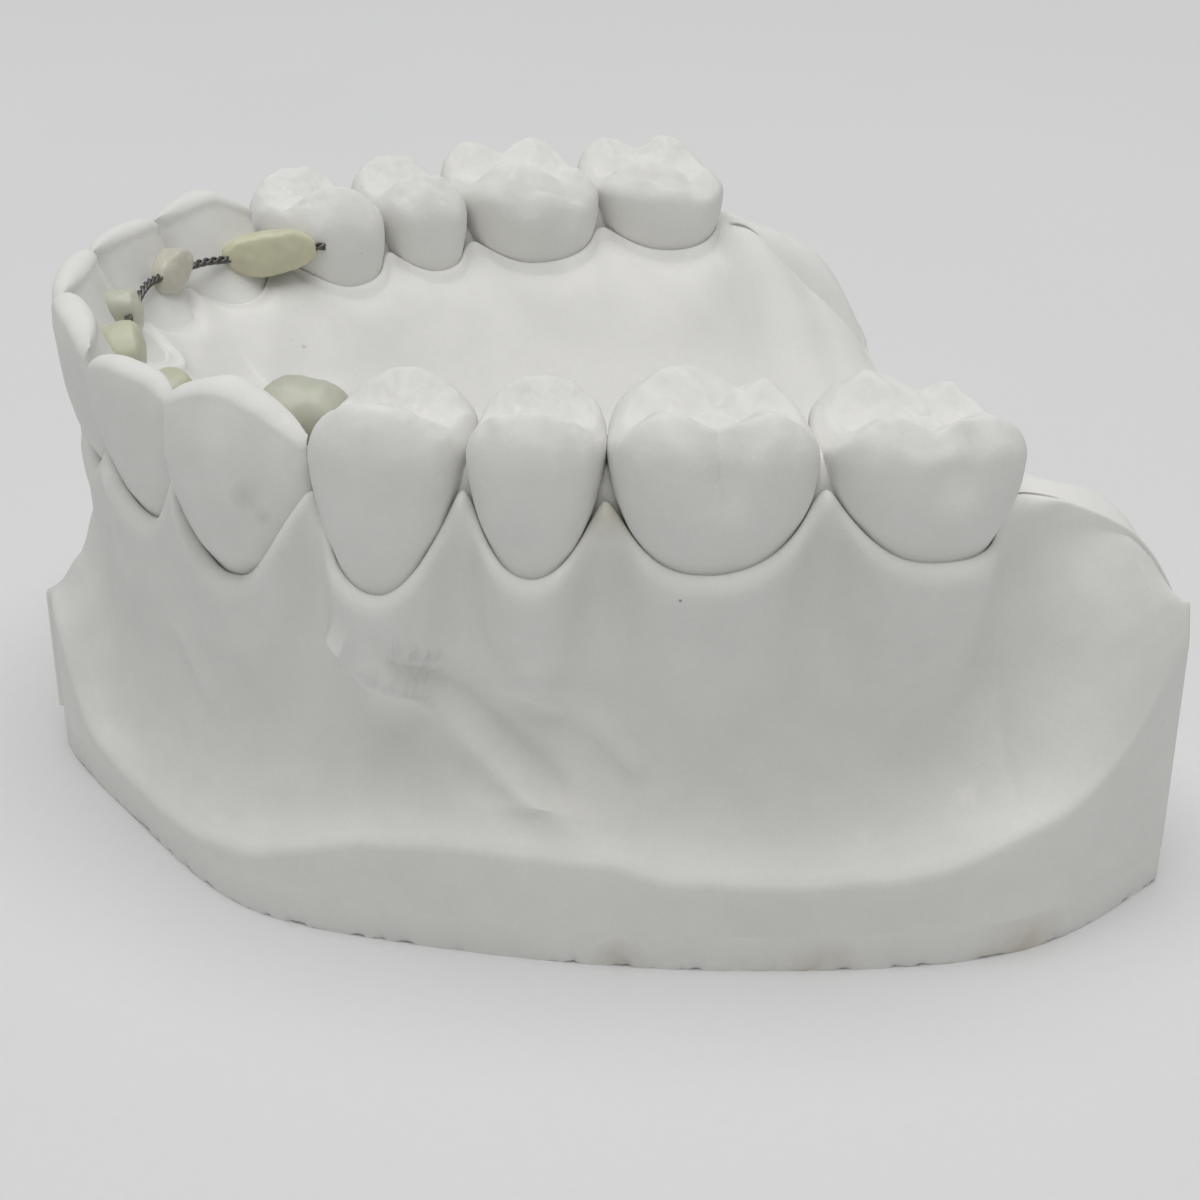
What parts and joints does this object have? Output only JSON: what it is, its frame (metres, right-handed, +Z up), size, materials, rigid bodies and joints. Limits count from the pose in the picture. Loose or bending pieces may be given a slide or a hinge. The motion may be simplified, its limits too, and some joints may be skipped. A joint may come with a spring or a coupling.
{
  "type": "typodont model",
  "caption": "Upper dental model of white plaster: full tooth row and palate on a trimmed flat base, with a twisted-wire retainer bonded behind the front teeth",
  "frame": {"origin": "centre of the flat underside", "axes": "+X to the side of the patient's right teeth, -Y towards the front teeth, +Z up through the biting edges"},
  "size_m": [0.066, 0.0562, 0.0279],
  "materials": {
    "base_plaster": "matte cast dental plaster, trimmed faces slightly rough",
    "gum_plaster": "matte cast dental plaster",
    "tooth_plaster": "smooth matte cast dental plaster",
    "retainer_wire": "dark twisted stainless wire",
    "bonding_pad": "translucent tooth-coloured composite"
  },
  "bodies": {
    "root": {"plaster_base": "base_plaster", "gum_and_palate": "gum_plaster", "right_central_incisor": "tooth_plaster", "right_lateral_incisor": "tooth_plaster", "right_canine": "tooth_plaster", "right_first_premolar": "tooth_plaster", "right_second_premolar": "tooth_plaster", "right_first_molar": "tooth_plaster", "right_second_molar": "tooth_plaster", "left_central_incisor": "tooth_plaster", "left_lateral_incisor": "tooth_plaster", "left_canine": "tooth_plaster", "left_first_premolar": "tooth_plaster", "left_second_premolar": "tooth_plaster", "left_first_molar": "tooth_plaster", "left_second_molar": "tooth_plaster", "retainer_strand_1": "retainer_wire", "retainer_strand_2": "retainer_wire", "retainer_strand_3": "retainer_wire", "right_canine_pad": "bonding_pad", "right_lateral_pad": "bonding_pad", "right_central_pad": "bonding_pad", "left_central_pad": "bonding_pad", "left_lateral_pad": "bonding_pad", "left_canine_pad": "bonding_pad"}
  },
  "joints": []
}
